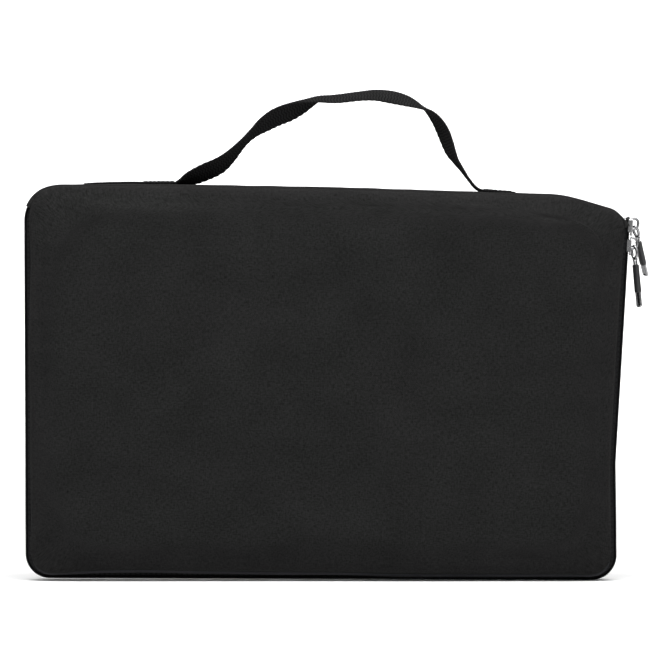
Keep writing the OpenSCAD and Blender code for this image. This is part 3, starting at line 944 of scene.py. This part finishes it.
def webbing_rows():
    """Section points of the ribbed webbing at every station, upper side then underside."""
    points, along, turn, cup, at = handle_stations()
    lift = unit(np.stack([-along[:, 2], np.zeros(len(at)), along[:, 0]], 1))
    wide = np.cos(turn)[:, None] * np.array([0, 1, 0]) + np.sin(turn)[:, None] * lift
    face = np.cos(turn)[:, None] * lift - np.sin(turn)[:, None] * np.array([0, 1, 0])
    half = np.linspace(-1, 1, 19)
    bend = np.maximum(cup, 0.02)[:, None]
    radius = WEBBING_W / bend
    selvage = 0.32 * np.sin(at * 2 * math.pi / 4.0)[:, None] * np.sign(half) * (np.abs(half) > 0.93)
    side = radius * np.sin(half * bend / 2) + selvage
    rise = radius * (np.cos(half * bend / 2) - np.cos(bend / 2)) - radius * (1 - np.cos(bend / 2)) / 2
    rise = np.where(cup[:, None] < 0.03, 0, rise)
    rib = 0.2 * np.abs(np.sin(at * math.pi / 1.95))[:, None] * (1 - half ** 8)
    thick = WEBBING_T / 2 * np.sqrt(np.clip(1 - 0.75 * half ** 10, 0, 1)) + rib
    centre = points[:, None]
    flat = wide[:, None] * side[..., None]
    up = face[:, None] * (rise + thick)[..., None]
    down = face[:, None] * (rise - thick)[..., None]
    upper = centre + flat + up
    lower = (centre + flat + down)[:, ::-1]
    across = np.concatenate([half, half[::-1] + 4]) * WEBBING_W / 2
    return np.concatenate([upper, lower], 1), cloth_grid(at, across), points


def make_handle():
    """The webbing in two lengths that meet on top of the loop. Each curves up where it leaves its sewn run.
    """
    rows, weave, points = webbing_rows()
    middle = int(np.argmin(np.abs(points[:, 0] - LOOP_MIDDLE_X)))
    spans = (("left", slice(0, middle + 1), "handle_run_left", -98.0, -70.0),
             ("right", slice(middle, len(rows)), "handle_run_right", 105.0, 88.0))
    for name, span, run, start_x, end_x in spans:
        shape = strip(rows[span], flip=True)
        piece = make_piece("handle_webbing_" + name, shape, WEBBING, weave[span], sharp=60)
        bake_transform(piece)
        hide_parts(run, "handle_webbing")


def line_stitches(a, b, pitch=2.6, gap=0.5):
    """Places of the stitches along a straight line."""
    a, b = np.array(a, float), np.array(b, float)
    length = np.linalg.norm(b - a)
    count = max(int(length / pitch), 1)
    step = (b - a) / count
    trim = step * gap / pitch / 2
    return [(a + step * k + trim, a + step * (k + 1) - trim) for k in range(count)]


def make_box_stitches():
    """A box with a cross in it on each sewn run."""
    for name, middle_x, half_l in (("left", -104.0, 9.5), ("right", 113.5, 8.5)):
        half_w = WEBBING_W / 2 - 2.2
        corners = []
        for i, j in ((-1, -1), (1, -1), (1, 1), (-1, 1)):
            x = middle_x + i * half_l
            rise = np.interp(x, HANDLE[:, 0], HANDLE[:, 1]) + float(smooth_table(TOP_STRAY, [x])[0])
            corners.append(np.array([x, j * half_w, fold_z(x) + rise + WEBBING_T / 2 + 0.15]))
        places = []
        for k in range(4):
            places += line_stitches(corners[k], corners[(k + 1) % 4])
        places += line_stitches(corners[0], corners[2]) + line_stitches(corners[1], corners[3])
        shape = stitches(places, [np.array([0.0, 0.0, 1.0])] * len(places), 0.3)
        piece = make_piece("box_stitches_" + name, shape, THREAD)
        settle(piece, "spine", "thread", "stitch_" + name)


# ---- sliders and pulls

SLIDER_W, SLIDER_L = 8.5, 11.5
PLATE_T = 1.2
PLATE_GAP_OUT = 0.3
PLATE_IN = 3.05
UPPER_Z = RIGHT_END_Z - 5.8
SLIDER_GAP = 12.5
BAIL_Z, BAIL_OUT, BAIL_HALF_L, BAIL_WIRE = 2.2, 3.6, 3.4, 0.88
# The pull: its eye, the sleeve below it, its full length, and the slotted tip's two bars.
EYE_HALF_W, EYE_L, EYE_WIRE = 1.95, 9.8, 0.98
SLEEVE_TOP, SLEEVE_L, PULL_L = 12.4, 18.0, 40.0
SLEEVE_HALF_T, SLEEVE_HALF_W = 1.8, 2.15
TIP_BAR_Y, TIP_BAR_R = 1.42, 0.72
RUN_ANGLE = math.atan(RUN_LEAN)


def rounded_plate(outline, x_low, x_high, bevel):
    """A plate from a Y and Z outline, with its rims rounded over."""
    outline = np.array(outline)
    middle = outline.mean(0)
    rows = []
    for shrink, x in ((1, x_low), (0.35, x_low + 0.1 * bevel), (0, x_low + bevel), (0, x_high - bevel),
                      (0.35, x_high - 0.1 * bevel), (1, x_high)):
        away = outline - middle
        inner = middle + away * (1 - shrink * bevel / np.linalg.norm(away, axis=1))[:, None]
        rows.append(np.stack([np.full(len(outline), x), inner[:, 0], inner[:, 1]], 1))
    return strip(np.array(rows))


def slider_outline(width, length, waist):
    """A slider's plan: wide at its shoulders, drawn in towards the tail, with round ends."""
    t = circle(48)
    z = length / 2 * blunt(np.sin(t), 0.55)
    y = width / 2 * blunt(np.cos(t), 0.45)
    taper = 1 - waist * smooth_step((-z / length + 0.5))
    return np.stack([y * taper, z], 1)


def slider_parts(tail):
    """All of one slider, in its own frame: X out of the case, Z up the zip. tail is 1 or -1."""
    plan = slider_outline(SLIDER_W, SLIDER_L, 0.22) * np.array([1, tail])
    if tail < 0:
        plan = plan[::-1]
    parts = [rounded_plate(plan, PLATE_GAP_OUT, PLATE_GAP_OUT + PLATE_T, 0.4),
             rounded_plate(plan, -PLATE_IN - PLATE_T, -PLATE_IN, 0.4)]
    for sign in (1, -1):
        y_in, y_out = sorted((sign * (CHAIN_HALF_W + 0.3), sign * SLIDER_W / 2))
        flange = [(y_in, -3.4), (y_out, -3.0), (y_out, 3.6), (y_in, 4.2)]
        parts.append(rounded_plate(flange, -1.5, PLATE_GAP_OUT + 0.6, 0.2))
    post_z = tail * 2.2
    post = [(-0.65, post_z - 1.4), (0.65, post_z - 1.4), (0.9, post_z), (0.65, post_z + 1.4),
            (-0.65, post_z + 1.4), (-0.9, post_z)]
    parts.append(rounded_plate(post, -PLATE_IN - 0.3, PLATE_GAP_OUT + 0.3, 0.1))
    turn = np.linspace(-0.12, math.pi + 0.12, 30)
    foot = PLATE_GAP_OUT + PLATE_T
    path = np.stack([foot + BAIL_OUT * blunt(np.sin(turn), 0.7), np.zeros(30),
                     BAIL_Z + BAIL_HALF_L * blunt(np.cos(turn), 0.8)], 1)
    parts.append(tube(path, BAIL_WIRE, 10, (0, 1, 0), flat=0.8))
    return join_parts(parts)


def on_run(z):
    """The frame of a slider whose middle is at a height on the run."""
    return Matrix.Translation((run_x(z), 0, z)) @ Matrix.Rotation(RUN_ANGLE, 4, "Y")


def in_plane(y, z):
    """Points of a pull's own plane."""
    return np.stack([np.zeros(len(z)), y, z], 1)


def pull_parts():
    """One pull in its own frame, hanging down from its pivot, flat in Y and Z: metal, then rubber."""
    flat_on = (1, 0, 0)
    t = circle(44)
    eye_z = -EYE_L / 2 + 0.5 + (EYE_L / 2 - EYE_WIRE) * np.cos(t)
    metal = [tube(in_plane(EYE_HALF_W * np.sin(t), eye_z), EYE_WIRE, 10, flat_on, closed=True, flat=0.95)]
    neck = -EYE_L + 1.3
    tip_top = SLEEVE_TOP + SLEEVE_L - 0.6
    tip_end = -PULL_L + 1.2
    for sign in (1, -1):
        z = np.linspace(neck, -SLEEVE_TOP - 1.0, 12)
        y = sign * (0.95 + 0.5 * (1 - smooth_step((neck - z) / 2.0)))
        metal.append(tube(in_plane(y, z), 0.68, 10, flat_on))
    for sign in (1, -1):
        bar = in_plane(np.full(16, sign * TIP_BAR_Y), np.linspace(-tip_top, tip_end, 16))
        metal.append(tube(bar, TIP_BAR_R, 10, flat_on, flat=1.25))
    turn = np.linspace(0, math.pi, 16)
    bend = in_plane(TIP_BAR_Y * np.cos(turn), tip_end + 0.05 - 0.5 * np.sin(turn))
    metal.append(tube(bend, TIP_BAR_R + 0.02, 10, flat_on, flat=1.2))
    web = [(-1.3, -tip_top), (1.3, -tip_top), (1.3, tip_end), (-1.3, tip_end)]
    metal.append(rounded_plate(web, -0.35, 0.35, 0.05))
    z = -SLEEVE_TOP - SLEEVE_L * np.array([0, 0.006, 0.02, 0.05, 0.3, 0.6, 0.9, 0.97, 0.994, 1.0])
    grow = np.array([0.82, 0.93, 0.99, 1.0, 1.0, 1.02, 1.04, 1.03, 0.97, 0.84])
    turn = circle(28)
    x, y = SLEEVE_HALF_T * blunt(np.sin(turn), 0.8), SLEEVE_HALF_W * blunt(np.cos(turn), 0.8)
    rows = [np.stack([g * x, g * y, np.full(28, h)], 1) for g, h in zip(grow, z)]
    return join_parts(metal), strip(np.array(rows))


# How each pull hangs at rest, in degrees: swung out from the case, leaned towards the back, turned.
HANG = {"upper": (15.0, 35.0, 42.0), "lower": (5.0, -4.0, 48.0)}


def make_sliders():
    """Both sliders on the run, each with its pull."""
    metal, rubber = pull_parts()
    for name, z, tail in (("upper", UPPER_Z, 1), ("lower", UPPER_Z - SLIDER_GAP, -1)):
        body = make_piece(name + "_slider_body", place(slider_parts(tail), on_run(z)), METAL, sharp=40)
        settle(body, name + "_slider", "slider_metal", name + "_slider")
        pivot = Vector(JOINTS[name + "_pull_swing"]["pos_m"]) / MM
        out, lean, turn = (math.radians(a) for a in HANG[name])
        hang = (Matrix.Translation(pivot) @ Matrix.Rotation(-out, 4, "Y")
                @ Matrix.Rotation(lean, 4, "X") @ Matrix.Rotation(turn, 4, "Z"))
        for part, kind, material, slot in ((metal, "frame", METAL, "pull_metal"),
                                           (rubber, "sleeve", RUBBER, "pull_rubber")):
            piece = make_piece(f"{name}_pull_{kind}_piece", place(part, hang), material, sharp=45)
            settle(piece, name + "_pull", slot, f"{name}_pull_{kind}")


# ---- stage, light and camera

VIEW_W = 430.81
VIEW_MIDDLE = Vector((9.0, 0, 157.5)) * MM
LENS_MM, SENSOR_MM = 250.0, 36.0
BACKDROP_Y, BACKDROP_R = 5100.0, 900.0


def make_stage():
    """A pale floor that turns up into a backdrop."""
    m = Nodes("pale_floor", (0.74, 0.74, 0.74), 0.9, specular=0.1)
    grain = solid_place(m, 300.0)
    m.tint(m.maths("MULTIPLY_ADD", grain, 0.01, 0.995))
    turn = np.linspace(0, math.pi / 2, 16)
    bend = BACKDROP_R * np.stack([np.sin(turn) - 1, 1 - np.cos(turn)], 1) + [BACKDROP_Y, 0]
    curve = np.concatenate([[[-9000.0, 0.0]], bend, [[BACKDROP_Y, 6000.0]]])
    rows = np.array([[[x, y, z] for x in (-6000.0, 6000.0)] for y, z in curve])
    faces = [f[::-1] for f in grid_faces(len(curve), 2)]
    make_piece("floor", (rows.reshape(-1, 3), faces), m.material)


def soft_light(name, place_m, aim_m, size, energy):
    """A rectangular lamp at a place, turned to what it lights."""
    light = bpy.data.lights.new(name, "AREA")
    light.shape = "RECTANGLE"
    light.size, light.size_y = size
    light.energy = energy
    lamp = add_object(name, light)
    lamp.location = place_m
    lamp.rotation_euler = (Vector(aim_m) - Vector(place_m)).to_track_quat("-Z", "Y").to_euler()


def make_camera():
    """A long lens square on to the front, as far off as its view is wide enough."""
    data = bpy.data.cameras.new("camera")
    data.lens = LENS_MM
    data.sensor_width = SENSOR_MM
    data.clip_end = 60
    camera = add_object("camera", data)
    distance = VIEW_W * MM * LENS_MM / SENSOR_MM
    camera.location = VIEW_MIDDLE + Vector((0, -distance, 0))
    camera.rotation_euler = (math.pi / 2, 0, 0)
    bpy.context.scene.camera = camera


def make_light():
    """A sky bright overhead and dim at eye level, one soft box above and a weaker one in front."""
    world = bpy.data.worlds.new("studio")
    world.use_nodes = True
    tree = world.node_tree
    sky_place = tree.nodes.new("ShaderNodeTexCoord")
    split = tree.nodes.new("ShaderNodeSeparateXYZ")
    spread = tree.nodes.new("ShaderNodeMapRange")
    for socket, value in zip(spread.inputs[1:5], (-0.2, 0.9, 0.16, 1.0)):
        socket.default_value = value
    tree.links.new(sky_place.outputs["Generated"], split.inputs[0])
    tree.links.new(split.outputs[2], spread.inputs[0])
    tree.links.new(spread.outputs[0], tree.nodes["Background"].inputs["Strength"])
    tree.nodes["Background"].inputs["Color"].default_value = (1, 1, 1, 1)
    bpy.context.scene.world = world
    soft_light("top_softbox", (0.0, -0.42, 1.05), (0, 0, 0.15), (1.2, 0.6), 19)
    soft_light("front_softbox", (1.7, -2.0, 1.7), (0, 0, 0.15), (1.0, 1.0), 10)
    soft_light("backdrop_light", (0, 3.2, 3.0), (0, 5.1, 0.5), (4.0, 1.0), 200)


for make in (make_panels, make_tapes, make_bindings, make_coils, make_tape_stitches, make_stops,
             make_linings, make_spine, make_spine_lining, make_handle, make_box_stitches, make_sliders,
             make_stage, make_light, make_camera):
    make()
bpy.context.scene.view_settings.view_transform = "Standard"
